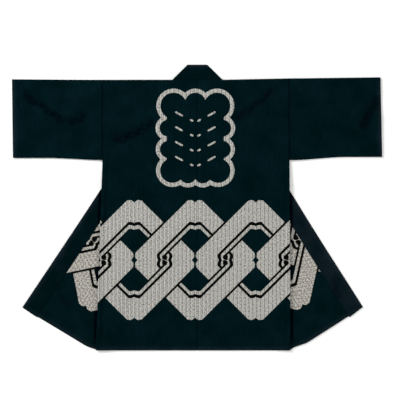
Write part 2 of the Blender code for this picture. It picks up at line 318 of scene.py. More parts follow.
def fold_under(across, up, foot, outward, top):
    """Fold a flat layout under along a line: a half circle, then back below itself."""
    past = (across - foot[0]) * outward[0] + (up - foot[1]) * outward[1] + FOLD_REACH
    turn = np.clip(past, 0.0, FOLD_ARC) / FOLD_RADIUS
    beyond = np.maximum(past - FOLD_ARC, 0.0)
    along = np.minimum(past, 0.0) + FOLD_RADIUS * np.sin(turn) - beyond
    move = along - past
    height = top - FOLD_RADIUS * (1.0 - np.cos(turn))
    return np.stack((across + move * outward[0], up + move * outward[1], height), axis=-1)


def from_edge(side, distance, y):
    """Distances along and in from the straight line that a turned-out front edge follows."""
    angle = math.radians(side.spread)
    out, down = distance - side.neck, side.y_neck - y
    along = out * math.sin(angle) + down * math.cos(angle)
    return along, down * math.sin(angle) - out * math.cos(angle)


def turn_front_under(side, across, up, top):
    """Place points of a front, given before the turn, as they lie after it.

    The turned-out edge then bows in a little, as the bias of the cloth gives.
    """
    free, apex, half = turn_line(side)
    placed = fold_under(across, up, (free, apex), (-math.cos(half), -math.sin(half)), top)
    along, inward = from_edge(side, placed[..., 0], placed[..., 1])
    bow = side.bow * np.sin(math.pi * np.clip(along / BOW_LENGTH, 0.0, 1.0)) ** 2
    bow = bow * smooth(1.0 - inward / BOW_REACH) * (placed[..., 2] < top - FOLD_RADIUS)
    placed[..., 0] -= bow * math.cos(2 * half)
    placed[..., 1] -= bow * math.sin(2 * half)
    return placed


def front_hem(side, across):
    """Hem of a front before the turn: nearly level, curving up to the side seam."""
    lift = smooth((across - side.side_hem + FRONT_LIFT_WIDTH) / FRONT_LIFT_WIDTH)
    return side.front_hem + side.front_tilt * (across - side.neck) + FRONT_HEM_LIFT * lift


def swell(x, y):
    """Slow waves of the lying cloth: four crossed sines of unlike length, never negative."""
    waves = (
        np.sin(9.1 * x + 5.3 * y + 0.4)
        + 0.8 * np.sin(-6.7 * x + 12.9 * y + 1.9)
        + 0.5 * np.sin(17.3 * x - 8.1 * y + 3.1)
        + 0.35 * np.sin(14.9 * x + 23.7 * y + 5.0)
    )
    return 0.5 + 0.19 * waves


def creases(x, y):
    """Height of all creases over a place, negative in a trough.

    A crease is a bell across a line that bows, wavers by 1.6 and 0.8 mm at two pitches, and
    fades at both ends.
    """
    total = np.zeros_like(x)
    for crease in CREASES:
        run = np.array((crease.x1 - crease.x0, crease.y1 - crease.y0))
        reach = float(np.hypot(*run))
        run /= reach
        along = (x - crease.x0) * run[0] + (y - crease.y0) * run[1]
        aside = (y - crease.y0) * run[0] - (x - crease.x0) * run[1]
        bow = CREASE_BOW * reach * np.square(2.0 * along / reach - 1.0)
        bow += 0.0016 * np.sin(along / 0.0105 + 40.0 * crease.x0)
        bow += 0.0008 * np.sin(along / 0.0043)
        end = CREASE_FADE * reach
        fade = smooth(along / end + CREASE_FADE) * smooth((reach - along) / end + CREASE_FADE)
        total += crease.height * bell(aside - bow, crease.width) * fade
    return total


def relief(x, y, height):
    """Lift of every layer over a place: the swell plus all creases, held above the floor.

    Half of v plus the root of v squared plus the ease squared keeps v where it is positive.
    """
    raw = height * swell(x, y) + creases(x, y)
    return 0.5 * (raw + np.sqrt(np.square(raw) + RELIEF_EASE ** 2))


def painted_hollow_shade(x, y):
    """Painted shade in a crease's trough, from 0 to 1: its depth times patches of two sines."""
    patch = 0.72 + 0.28 * np.sin(151.0 * x + 93.0 * y) * np.sin(-78.0 * x + 217.0 * y + 1.3)
    return HOLLOW_SHADE * patch * smooth(-creases(x, y) / HOLLOW_DEPTH)


def seam_dip(seam, away):
    """Share of the seam dip at a distance from a seam: a bell."""
    return seam.dip * bell(away, seam.dip_width)


def seam_shade(seam, away):
    """Painted shade at a distance from a seam: a bell."""
    return seam.shade * bell(away, seam.shade_width)


def puckers(kind, along):
    """Small waves along a line of stitches: a sine."""
    return kind.height * np.sin(along * 2.0 * math.pi / kind.pitch)


def over_collar(side, x, y, thickness):
    """Extra height of what lies over a turned-out collar run: its extra thickness."""
    _, inward = from_edge(side, side.sign * x, y)
    climb = smooth((inward + COLLAR_CLIMB) / COLLAR_CLIMB)
    descent = smooth((COLLAR_WIDTH + COLLAR_DESCENT - inward) / COLLAR_DESCENT)
    below_neck = smooth((side.y_neck + 0.01 - y) / 0.03)
    return thickness * climb * descent * below_neck


def clear_of_hem(y):
    """Fade of a line above the back's hem: 0 up to 11 mm from it, 1 beyond 56 mm."""
    return smooth((y - HEM) / 0.045 - 0.25)


def side_ditch_shadow(side, distance, y):
    """Painted shadow in the ditch beside the back's side edge, from 0 to 1.

    A bell with a flat top, 4 mm outside the edge, that fades at the underarm and the hem.
    """
    beside = distance - side_edge(side, y) - 0.0040
    ditch = np.minimum(1.6 * bell(beside, DITCH_WIDTH), 1.0)
    return ditch * smooth((side.under_arm - y) / 0.06) * clear_of_hem(y)


def settle_back(side, across, up):
    """How far the back sinks between the turned fronts, from 0 to 1."""
    ledge = turn_edge(side, up) - SETTLE_MARGIN
    slope = np.minimum(SETTLE_WIDTH, 0.9 * ledge)
    inward = 1.0 - smooth((across - ledge + slope) / slope)
    return inward * smooth((side.y_neck - SETTLE_START - up) / SETTLE_LENGTH)


# ---------------- mesh making

def grid_faces(index, turned=False):
    """Quads of a grid of vertex numbers, as one array, turned over where asked."""
    quads = (index[:-1, :-1], index[:-1, 1:], index[1:, 1:], index[1:, :-1])
    return np.stack(quads[::-1] if turned else quads, axis=-1).reshape(-1, 4)


def number_grid(shape, start=0):
    """Vertex numbers of a grid whose first vertex has number start."""
    return start + np.arange(shape[0] * shape[1]).reshape(shape)


def closed_grid(shape):
    """Vertex numbers of a tube: its first column comes again after its last."""
    index = number_grid(shape)
    return np.hstack((index, index[:, :1]))


def make_cloth(name, material, points, faces, cut, values, wall=0.0):
    """Mesh object from points, faces, the cut's two coordinates as a UV map, and attributes.

    Points that a fold's tip brings together are merged, and a wall is given by Solidify.
    """
    mesh = bpy.data.meshes.new(name)
    mesh.from_pydata(points.reshape(-1, 3), [], faces)
    layer = mesh.uv_layers.new(name="cut")
    loops = np.empty(len(mesh.loops), dtype=np.int32)
    mesh.loops.foreach_get("vertex_index", loops)
    cut = np.stack([np.ravel(part) for part in cut], axis=-1)
    layer.uv.foreach_set("vector", cut[loops].astype(np.float32).ravel())
    for key, value in values.items():
        attribute = mesh.attributes.new(key, "FLOAT", "POINT")
        attribute.data.foreach_set("value", np.asarray(value, dtype=np.float32).ravel())
    sheet = bmesh.new()
    sheet.from_mesh(mesh)
    bmesh.ops.remove_doubles(sheet, verts=sheet.verts, dist=0.00002)
    sheet.to_mesh(mesh)
    sheet.free()
    mesh.shade_smooth()
    mesh.materials.append(material)
    piece = bpy.data.objects.new(name, mesh)
    bpy.context.scene.collection.objects.link(piece)
    if wall > 0.0:
        solidify = piece.modifiers.new("cloth wall", "SOLIDIFY")
        solidify.thickness = wall
        solidify.offset = 0.0
        solidify.use_quality_normals = True
    return piece


def declare(piece, node):
    """Hang a piece of cloth on the root, and hide the solid of the model that it stands for."""
    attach(piece, "root")
    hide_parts(node)


# ---------------- colour and pattern

# Places of a Mix node's sockets, some of which share a name
FACTOR, NUMBER_A, NUMBER_B, COLOUR_A, COLOUR_B = 0, 2, 3, 6, 7


def colour(hex_value):
    """Linear colour of an sRGB hex value."""
    parts = np.array([int(hex_value[start:start + 2], 16) for start in (1, 3, 5)]) / 255.0
    linear = np.where(parts <= 0.04045, parts / 12.92, ((parts + 0.055) / 1.055) ** 2.4)
    return (*linear.tolist(), 1.0)


def add(tree, kind, inputs=(), output=0, **settings):
    """Add a node, set it, link or fill its inputs in order, and return one output.

    A kind in capitals is an operation of the Math node.
    """
    if kind.isupper():
        kind, settings["operation"] = "Math", kind
    made = tree.nodes.new("ShaderNode" + kind)
    for key, value in settings.items():
        setattr(made, key, value)
    for place, value in (inputs.items() if isinstance(inputs, dict) else enumerate(inputs)):
        if isinstance(value, bpy.types.NodeSocket):
            tree.links.new(value, made.inputs[place])
        elif value is not None:
            made.inputs[place].default_value = value
    return made.outputs[output]


def lay_over(tree, ground, layers):
    """Colour of a ground after other colours are laid over it, each by its own share."""
    for share, tone in layers:
        mix = {FACTOR: share, COLOUR_A: ground, COLOUR_B: tone}
        ground = add(tree, "Mix", mix, output=2, data_type="RGBA")
    return ground


def read(tree, *names):
    """Values of the mesh's own attributes."""
    return [add(tree, "Attribute", output=2, attribute_name=name) for name in names]


def wave(tree, place, pitch):
    """Sine wave of a coordinate, with its pitch in metres."""
    turn = add(tree, "MULTIPLY", (place, 2.0 * math.pi / pitch))
    return add(tree, "SINE", (turn,))


def link_shape(tree, aside, height):
    """Size of the notched diamond through a point: its reach along an axis.

    With m the larger and t the smaller of the two distances, the size is m plus the larger
    of t, the straight sides, and 12.3 mm + 0.055 m + (0.064 m - 3.2 mm) (1 - t / 14.7 mm)
    squared, the two round lobes and the notch at each corner.
    """
    larger = add(tree, "MAXIMUM", (aside, height))
    smaller = add(tree, "MINIMUM", (aside, height))
    near = add(tree, "MINIMUM", (smaller, 0.020))
    lobe = add(tree, "MULTIPLY_ADD", (near, -1.0 / 0.0147, 1.0))
    square = add(tree, "MULTIPLY", (lobe, lobe))
    depth = add(tree, "MULTIPLY_ADD", (larger, 0.064, -0.0032))
    blunt = add(tree, "MULTIPLY_ADD", (larger, 0.055, 0.0123))
    corner = add(tree, "MULTIPLY_ADD", (square, depth, blunt))
    reach = add(tree, "MAXIMUM", (corner, smaller))
    return add(tree, "ADD", (larger, reach))


STRIPE_PITCHES = (0.0137, 0.0072)    # upright stripes in the pale cloth of the back
CHECK_COLUMN = 0.0120      # small check in the pale cloth of the fronts
CHECK_ROW = 0.0145
EYE_RISE = 0.0098          # dark rounds where two holes meet, from the chain's middle line
EYE_RADIUS = 0.0092

# Bands of one link from its hole outwards: reach in link pitches, pale or dark, whether the
# link covers what lies under it there, and whether the band is a line of solid dye.
Band = namedtuple("Band", "reach pale covers ink")
LINK_BANDS = (
    Band(0.000, 0.0, 0.0, 0.0),
    Band(0.548, 0.0, 1.0, 0.0),
    Band(0.600, 1.0, 1.0, 0.0),
    Band(0.664, 0.0, 1.0, 1.0),
    Band(0.719, 1.0, 1.0, 0.0),
    Band(1.095, 0.0, 1.0, 0.0),
    Band(1.145, 0.0, 0.0, 0.0),
)
BAND_RANGE = 1.25          # link pitches that the bands' ramp spans


def link_bands(tree, size, pitch):
    """Bands of a link at a size: how pale, whether it covers, and whether it is inked."""
    share = add(tree, "MULTIPLY", (size, 1.0 / (pitch * BAND_RANGE)))
    bands = add(tree, "ValToRGB", (share,))
    ramp = bands.node.color_ramp
    ramp.interpolation = "CONSTANT"
    while len(ramp.elements) < len(LINK_BANDS):
        ramp.elements.new(1.0)
    for element, band in zip(ramp.elements, LINK_BANDS):
        element.position = band.reach / BAND_RANGE
    for element, band in zip(ramp.elements, LINK_BANDS):
        element.color = (band.pale, band.ink, 0.0, band.covers)
    pale = add(tree, "SeparateColor", (bands,))
    return pale, bands.node.outputs["Alpha"], pale.node.outputs[1]


def chain(tree, x, y, pitch):
    """Chain of linked diamonds: 1 where it is pale, and 1 on its lines of solid dye.

    Even and odd links each fill their own row. Above the middle line the right-hand link of
    two lies on top, below it the left-hand one, so that each link passes over one neighbour
    and under the other.
    """
    even_aside = add(tree, "PINGPONG", (x, pitch))
    odd_aside = add(tree, "SUBTRACT", (pitch, even_aside))
    height = add(tree, "ABSOLUTE", (y,))
    even, even_covers, even_ink = link_bands(tree, link_shape(tree, even_aside, height), pitch)
    odd, odd_covers, odd_ink = link_bands(tree, link_shape(tree, odd_aside, height), pitch)
    side = add(tree, "MULTIPLY", (wave(tree, x, 2.0 * pitch), y))
    odd_first = add(tree, "GREATER_THAN", (side, 0.0))
    top = add(tree, "Mix", {FACTOR: odd_first, NUMBER_A: even, NUMBER_B: odd})
    under = add(tree, "Mix", {FACTOR: odd_first, NUMBER_A: odd, NUMBER_B: even})
    covers = add(tree, "Mix", {FACTOR: odd_first, NUMBER_A: even_covers, NUMBER_B: odd_covers})
    pale = add(tree, "Mix", {FACTOR: covers, NUMBER_A: under, NUMBER_B: top})
    # Solid dye: each link's inner line, and its rim where it crosses another link
    crossing = add(tree, "MINIMUM", (even_covers, odd_covers))
    ink = add(tree, "MAXIMUM", (crossing, add(tree, "MAXIMUM", (even_ink, odd_ink))))
    # Two dark rounds, one above the other, where two neighbouring holes meet
    away = add(tree, "SUBTRACT", (even_aside, pitch / 2))
    above = add(tree, "SUBTRACT", (height, EYE_RISE))
    reach = add(tree, "MULTIPLY_ADD", (above, above, add(tree, "MULTIPLY", (away, away))))
    outside = add(tree, "GREATER_THAN", (reach, EYE_RADIUS ** 2))
    return add(tree, "MULTIPLY", (pale, outside)), ink


# Matt cotton: next to no gloss, and a faint nap that catches cool light
COTTON_FINISH = {
    "Metallic": 0.0,
    "Specular IOR Level": 0.008,
    "Sheen Weight": 0.008,
    "Sheen Roughness": 0.5,
    "Sheen Tint": (0.30, 0.75, 1.0, 1.0),
}


def cloth_material(name, sizes, colours, worn, patterned=False):
    """Plain-weave cotton: matt, a little nap, uneven dye, and threads as fine relief.

    Indigo-dyed cotton is nearly black with a green-blue cast, paler where the dye has worn at
    the edges, and shows no gloss. The patterned cloth has a resist-dyed chain and emblem.
    """
    material = bpy.data.materials.new(name)
    material.use_nodes = True
    tree = material.node_tree
    shader = tree.nodes["Principled BSDF"]
    cut = add(tree, "UVMap", uv_map="cut")
    split = add(tree, "SeparateXYZ", (cut,))
    x, y, _ = split.node.outputs
    # Uneven dye: cloudy patches of about 80 mm, and slubs of 2 by 40 mm along the warp
    cloud = add(tree, "TexNoise", {"Vector": cut, "Scale": 13.0, "Detail": 4.0})
    slub_place = add(tree, "Mapping", {"Vector": cut, "Scale": (420.0, 26.0, 1.0)})
    slub = add(tree, "TexNoise", {"Vector": slub_place, "Scale": 1.0, "Detail": 2.0})
    uneven = add(tree, "MapRange", (add(tree, "MULTIPLY", (cloud, slub)), 0.16, 0.42, 0.0, 0.75))
    edge, fade, seam = read(tree, "edge", "fade", "seam")
    wear = add(tree, "MapRange", (edge, 0.003, 0.018, 0.75, 0.0))
    wear = add(tree, "MULTIPLY", (wear, cloud))
    thin = add(tree, "ADD", (uneven, fade), use_clamp=True)
    # The dye is thinner in patches and is rubbed off at the hems. Painted shade from the seam
    # attribute darkens seam ditches, crease troughs and the side edge's ditch
    dyed = lay_over(tree, colour(colours.indigo), (
        (thin, colour(worn)),
        (wear, colour(colours.worn_edge)),
        (seam, colour(colours.painted_shade)),
    ))
    if patterned:
        dyed = resist_pattern(tree, sizes, colours, cut, x, y, dyed)
    tree.links.new(dyed, shader.inputs["Base Color"])
    # Threads: two crossed waves at the thread spacing, drawn coarser than the real 0.5 mm
    # so that the weave still shows close up
    warp, weft = wave(tree, x, sizes.thread), wave(tree, y, sizes.thread)
    weave = add(tree, "MULTIPLY_ADD", (warp, weft, slub))
    bump = add(tree, "Bump", {"Strength": 0.35, "Distance": 0.0002, "Height": weave})
    tree.links.new(bump, shader.inputs["Normal"])
    rough = add(tree, "MapRange", (slub, 0.2, 0.8, 0.86, 0.97))
    tree.links.new(rough, shader.inputs["Roughness"])
    for key, value in COTTON_FINISH.items():
        shader.inputs[key].default_value = value
    return material


def resist_pattern(tree, sizes, colours, cut, x, y, dyed):
    """Resist-dyed chain and emblem over the dyed cloth.

    The undyed cloth carries fine marks: uneven upright stripes on the back, and a small
    slanting check on the fronts.
    """
    links, ink = chain(tree, x, y, sizes.link_pitch)
    dyed = lay_over(tree, dyed, [(ink, colour(colours.ink))])
    emblem, front = read(tree, "emblem", "front")
    emblem = add(tree, "LESS_THAN", (emblem, 0.0))
    pale = add(tree, "MAXIMUM", (links, emblem))
    # Upright stripes: two sines of unlike pitch, broken into dots of about 3 by 6 mm
    dot_place = add(tree, "Mapping", {"Vector": cut, "Scale": (380.0, 170.0, 1.0)})
    dots = add(tree, "TexNoise", {"Vector": dot_place, "Scale": 1.0, "Detail": 1.0})
    both = add(tree, "ADD", [wave(tree, x, pitch) for pitch in STRIPE_PITCHES])
    rough_dots = add(tree, "MULTIPLY_ADD", (dots, 1.5, -0.25))
    stripe = add(tree, "MULTIPLY_ADD", (both, 0.11, rough_dots))
    # Small check: rows that lean across columns, with flecks of about 4 mm
    lean = add(tree, "MULTIPLY_ADD", (x, 0.45, y))
    block = add(tree, "ADD", (wave(tree, x, CHECK_COLUMN), wave(tree, lean, CHECK_ROW)))
    speck = add(tree, "TexNoise", {"Vector": cut, "Scale": 230.0, "Detail": 1.0})
    fleck = add(tree, "MULTIPLY_ADD", (speck, 2.0, -0.5))
    check = add(tree, "MULTIPLY_ADD", (block, 0.08, fleck))
    tone = add(tree, "Mix", {FACTOR: front, NUMBER_A: stripe, NUMBER_B: check})
    tone = add(tree, "MapRange", (tone, 0.22, 0.78, 0.0, 1.0))
    marks = add(tree, "MapRange", (tone, 0.0, 0.5, 1.0, 0.0))
    clean = add(tree, "MapRange", (tone, 0.5, 1.0, 0.0, 1.0))
    filled = lay_over(tree, colour(colours.pale), (
        (front, colour(colours.pale_warm)),
        (marks, colour(colours.pale_mark)),
        (clean, colour(colours.pale_high)),
    ))
    return lay_over(tree, dyed, [(pale, filled)])


def emblem_distance(x, y, stroke):
    """Signed distance to the emblem's pale strokes, negative inside them.

    The plaque is the union of a box and round lobes, mirrored left to right; its outline is
    the band just inside its edge. Dashes are short lines with round ends.
    """
    aside = np.abs(x)
    plaque = np.maximum(aside - EMBLEM_CORE[0], np.abs(y) - EMBLEM_CORE[1])
    for lobe in EMBLEM_LOBES:
        plaque = np.minimum(plaque, np.hypot(aside - lobe.x, y - lobe.y) - lobe.radius)
    pale = np.abs(plaque + stroke / 2) - stroke / 2
    for dash in EMBLEM_DASHES:
        run_x, run_y = dash.x1 - dash.x0, dash.y1 - dash.y0
        share = ((aside - dash.x0) * run_x + (y - dash.y0) * run_y) / (run_x ** 2 + run_y ** 2)
        share = np.clip(share, 0.0, 1.0)
        away = np.hypot(aside - dash.x0 - share * run_x, y - dash.y0 - share * run_y)
        pale = np.minimum(pale, away - dash.radius)
    return pale


# ---------------- body lengths

def back_layout(side, sizes):
    """Back of one side: rows from hem to shoulder, columns from centre seam to side edge.

    Columns are even from the centre to the neck point and from there to the side edge; the
    first group is returned as a count, because the shoulder fold starts at its end.
    """
    inner = max(2, round(side.neck / sizes.cell))
    outer = max(2, round((side.armhole - side.neck) / sizes.cell))
    rows = shares(round((side.y_neck - HEM) / sizes.cell))[:, None]
    edge = side_edge(side, HEM + rows * (side.y_neck - HEM))
    first = shares(inner + 1)[None, :-1] * side.neck
    second = side.neck + shares(outer + 1)[None, :] * (edge - side.neck)
    across = np.hstack((np.repeat(first, rows.size, axis=0), second))
    top = shoulder(side, across[-1]) - FOLD_REACH
    rise = np.clip(side.neck - across[-1], 0.0, NECK_RISE)
    top = np.where(np.arange(across.shape[1]) < inner, side.y_neck + rise - GAP / 2, top)
    up = HEM + rows * (top[None, :] - HEM)
    return across, up, inner


def front_layout(side, sizes, top_across):
    """Front of one side before the turn: rows from shoulder to hem, columns from side edge
    to front edge, with a group of columns that run exactly round the fold.
    """
    free, apex, half = turn_line(side)
    edge = side.neck + GAP / 2
    meet = apex - (edge - free) / math.tan(half)
    top = side.y_neck - FOLD_REACH
    step = 2.0 * sizes.cell
    upper = np.linspace(top, meet, round((top - meet) / step))
    lower = np.linspace(meet - FOLD_TIP, HEM, round((meet - HEM) / step))
    height = np.concatenate((upper, lower))[:, None]
    flat_count, fold_count = top_across.size, sizes.fold_steps
    turned_count = round((side.side_hem - side.neck) / step)
    count = flat_count + fold_count + turned_count
    arc_end = FOLD_ARC - FOLD_REACH
    fold_past = FOLD_ARC * shares(fold_count + 1)[1:] - FOLD_REACH
    fold_past = np.concatenate((fold_past, np.full(turned_count, arc_end)))
    turned_share = np.pad(shares(turned_count + 1)[1:], (fold_count, 0))
    up = np.repeat(height, count, axis=1)
    # Where a row turns depends on its height, and its height on where it turns, so a few
    # passes bring both together
    for _ in range(4):
        turn = turn_edge(side, up)
        most = (turn - edge) * math.cos(half)
        inner = turn + np.maximum(FOLD_REACH, -most) / math.cos(half)
        outer = np.maximum(side_edge(side, up), turn + LEAST_FLAT)
        flat = outer[:, :flat_count] + (inner - outer)[:, :flat_count] * shares(flat_count)
        flat[0] = top_across[::-1]
        rest = np.maximum(most[:, flat_count:] - arc_end, 0.0)
        past = np.minimum(fold_past + rest * turned_share, most[:, flat_count:])
        across = np.hstack((flat, turn[:, flat_count:] - past / math.cos(half)))
        start = shoulder(side, across) - FOLD_REACH
        above = start + (height - top) / (meet - top) * (meet - start)
        below = meet + (height - meet) / (HEM - meet) * (front_hem(side, across) - meet)
        up = np.where(height > meet, above, below)
    return across, up


def lift_body(side, sizes, x, y, z, is_back):
    """Height added to a body length: the relief, what passes over the collar run, the back's
    side edge standing up, and dips and puckers along the seams of the back.
    """
    # Only the layers above the turned-out front pass over the collar run
    above = np.clip((z - level(1)) / LAYER, 0.0, 1.0)
    lift = relief(x, y, sizes.swell) + above * over_collar(side, x, y, sizes.collar - CAD_WALL)
    distance, low = np.abs(x), y < side.under_arm
    away = np.abs(distance - side.armhole)
    roll = sizes.side_roll * bell(side_edge(side, y) - distance, ROLL_WIDTH)
    roll *= smooth((side.under_arm - y) / 0.10) * smooth((y - HEM) / 0.05)
    dip = seam_dip(CENTRE_SEAM, distance) + np.where(low, 0.0, seam_dip(ARMHOLE_SEAM, away))
    beside = bell(away - 0.006, 0.006) + bell(distance - 0.005, 0.005)
    lift += np.where(is_back, np.where(low, roll, 0.0) - sizes.seam_dip * dip, 0.0)
    return lift + np.where(is_back & (z > level(1)), puckers(SEAM_PUCKER, y) * beside, 0.0)


def shade_body(side, x, y, is_front):
    """Painted shade of a body length: in troughs, in the ditches of the back's seams and along
    its side seam's allowance, and as a painted shadow on a front beside the back's edge.
    """
    distance, low = np.abs(x), y < side.under_arm
    armhole = seam_shade(ARMHOLE_SEAM, np.abs(distance - side.armhole))
    # Painted shade along the edge of the side seam's allowance
    allowance = bell(side_edge(side, y) - distance - SEAM_ALLOWANCE, ALLOWANCE_EDGE)
    allowance *= side.allowance_shade * clear_of_hem(y)
    back = np.maximum(seam_shade(CENTRE_SEAM, distance), np.where(low, allowance, armhole))
    lines = np.where(is_front, side_ditch_shadow(side, distance, y), back)
    return np.maximum(lines, painted_hollow_shade(x, y))


def build_body(side, sizes, material):
    """Body length: back, fold over the shoulder, and front turned under and outwards."""
    across, up, inner = back_layout(side, sizes)
    back = np.stack((across, up, level(3) - 2 * LAYER * settle_back(side, across, up)), axis=-1)
    top_row = back[-1, inner:]
    steps = math.pi * np.arange(1, sizes.fold_steps)[:, None] / sizes.fold_steps
    over = np.repeat(top_row[None], sizes.fold_steps - 1, axis=0)
    over[..., 1] += FOLD_RADIUS * np.sin(steps)
    over[..., 2] -= FOLD_RADIUS * (1.0 - np.cos(steps))
    front_across, front_up = front_layout(side, sizes, top_row[:, 0])
    front = turn_front_under(side, front_across, front_up, level(2))
    points = np.concatenate([part.reshape(-1, 3) for part in (back, over, front)])
    points[:, 0] *= side.sign
    x, y, z = points.T
    number = np.arange(len(points))
    is_back = number < across.size
    is_front = number >= len(points) - front_across.size
    points[:, 2] = np.maximum(z + lift_body(side, sizes, x, y, z, is_back), sizes.cloth / 2)
    # Coordinates of the pattern: the back's chain, and each front's own
    flat_x = np.concatenate((across.ravel(), over[..., 0].ravel(), front_across.ravel()))
    flat_y = np.concatenate((up.ravel(), over[..., 1].ravel(), front_up.ravel()))
    front_x, back_x = side.sign * (side.link_x - flat_x), side.sign * flat_x - sizes.link_x
    cut_x = np.where(is_front, front_x, back_x)
    cut_y = flat_y - np.where(is_front, side.link_y, sizes.link_y)
    emblem = emblem_distance(x - sizes.emblem_x, y - sizes.emblem_y, sizes.emblem_stroke)
    values = {
        "front": is_front,
        "emblem": np.where(is_back, emblem, 1.0),
        "edge": flat_y - np.where(is_front, front_hem(side, flat_x), HEM),
        # Painted shade: seam ditches, allowance, crease troughs, and the shadow beside the
        # back's edge
        "seam": shade_body(side, x, y, is_front),
    }
    back_index = number_grid(across.shape)
    over_index = number_grid(over.shape[:2], back_index.size)
    front_index = number_grid(front_across.shape, back_index.size + over_index.size)
    joined = np.vstack((
        back_index[-1:, inner:],
        over_index,
        front_index[:1, :top_row.shape[0]][:, ::-1],
    ))
    grids = (back_index, joined, front_index[:, ::-1])
    faces = np.concatenate([grid_faces(grid, side.sign < 0) for grid in grids])
    piece = make_cloth("body_cloth_" + side.name, material, points, faces, (cut_x, cut_y),
                       values, sizes.cloth)
    declare(piece, "body_" + side.name)


# ---------------- sleeves

def build_sleeve(side, sizes, material):
    """Sleeve: a flattened tube, folded along the top and seamed along the underside.

    One parameter runs from armhole to cuff, the other round the tube: over the upper layer,
    round the top fold, back along the lower layer and round the seam.
    """
    start = side.armhole
    rows = shares(round((side.cuff_top - start) / (1.2 * sizes.cell)))[:, None]
    across = start + rows * (side.cuff_top - start)
    high = shoulder(side, across) - FOLD_REACH
    # The underside curves from the cuff to the underarm over the first 1/1.6 of the sleeve
    corner = 1.0 - smooth(rows * 1.6)
    low = side.under_cuff + (side.under_arm - side.under_cuff) * corner + FOLD_REACH
    flat = shares(round((side.y_cuff - side.under_cuff) / (1.2 * sizes.cell)))
    arc = math.pi * np.arange(1, sizes.fold_steps) / sizes.fold_steps
    share = np.concatenate((flat, np.ones(arc.size), flat[::-1], np.zeros(arc.size)))
    bulge = np.concatenate((0 * flat, np.sin(arc), 0 * flat, -np.sin(arc)))
    drop = np.concatenate((0 * flat, 1 - np.cos(arc), 0 * flat + 2, 1 + np.cos(arc)))
    up = low + (high - low) * share + FOLD_RADIUS * bulge
    lean = (up - side.under_cuff) / (side.y_cuff - side.under_cuff)
    end = side.cuff_low + (side.cuff_top - side.cuff_low) * lean
    out = start + rows * (end - start)
    z = level(3) - FOLD_RADIUS * drop - LAYER * smooth((across - start) / SLEEVE_SETTLE)
    x = side.sign * out
    # The seam's dip and the turned hem's step are on the upper layer
    hem_edge = end - out
    step = 0.0005 * smooth((sizes.hem - hem_edge) / 0.003)
    step = step - sizes.seam_dip * seam_dip(ARMHOLE_SEAM, out - start)
    z = z + relief(x, up, sizes.swell) + step * (1.0 - drop / 2.0)
    z = np.maximum(z, sizes.cloth / 2)
    points = np.stack((x, up, z), axis=-1)
    faces = grid_faces(closed_grid(x.shape), side.sign > 0)
    # Painted shade in the armhole seam's ditch and in crease troughs
    shade = np.maximum(seam_shade(ARMHOLE_SEAM, out - start), painted_hollow_shade(x, up))
    # The lower layer's pattern of dye is another part of the cut
    cut = (out, up + 2.0 * drop)
    piece = make_cloth("sleeve_cloth_" + side.name, material, points, faces, cut,
                       {"edge": hem_edge, "seam": shade}, sizes.cloth)
    declare(piece, "sleeve_" + side.name)


# ---------------- collar

def band_section(sizes, count):
    """Closed section of the doubled collar: share of its width and height from its middle.

    The upper and lower face are flat with a slight crown, and both edges are half ellipses.
    """
    flat = shares(count)
    edge = 0.5 * sizes.collar
    arc = math.pi * np.arange(1, 6) / 6
    inset = edge / COLLAR_WIDTH
    middle = inset + flat * (1 - 2 * inset)
    tip = inset * (1 - np.sin(arc))
    share = np.concatenate((middle, 1 - tip, middle[::-1], tip))
    crown = 0.12 * np.sin(math.pi * flat)
    high = np.concatenate((1 + crown, np.cos(arc), -np.ones(count), -np.cos(arc)))
    return share, edge * high


def build_collar_run(side, sizes, material):
    """Collar on one front edge: a doubled band that runs straight down the turned-out edge."""
    free, apex, half = turn_line(side)
    seam = side.neck + side.collar_lap
    top_seam = apex - (side.neck - free) / math.tan(half) - 2 * FOLD_TIP
    top_free = side.y_neck - COLLAR_START
    share, high = band_section(sizes, round(COLLAR_WIDTH / COLLAR_CELL))
    across = seam + (free - seam) * share
    start = top_seam + (top_free - top_seam) * share
    end = side.collar_end_seam + (side.collar_end_edge - side.collar_end_seam) * share
    rows = shares(round(COLLAR_RUN / (1.3 * sizes.cell)))[:, None]
    up = start + rows * (end - start)
    across = np.broadcast_to(across, up.shape)
    flat = turn_front_under(side, across, up, level(2))
    x, y = side.sign * flat[..., 0], flat[..., 1]
    from_end = np.minimum(up - end, start - up)
    # The band is pressed to half its thickness at its two cut ends
    full = np.sqrt(0.25 + 0.75 * smooth(from_end / PRESSED_END))
    pucker = puckers(COLLAR_PUCKER, up) * bell(share, 0.12) * (high > 0)
    z = sizes.collar / 2 + high * full + pucker + relief(x, y, sizes.swell)
    points = np.stack((x, y, z), axis=-1)
    index = closed_grid(x.shape)
    faces = grid_faces(index).tolist() + [index[0, -2::-1].tolist(), index[-1, :-1].tolist()]
    if side.sign > 0:
        faces = [face[::-1] for face in faces]
    values = {
        "edge": np.minimum(from_end, COLLAR_WIDTH * (1 - share)),
        "fade": np.full(x.size, side.collar_fade),
        # Painted shadow beside the back's side edge, and painted shade in crease troughs
        "seam": np.maximum(side_ditch_shadow(side, side.sign * x, y), painted_hollow_shade(x, y)),
    }
    piece = make_cloth("collar_cloth_" + side.name, material, points, faces, (across, up),
                       values)
    declare(piece, "collar_" + side.name)


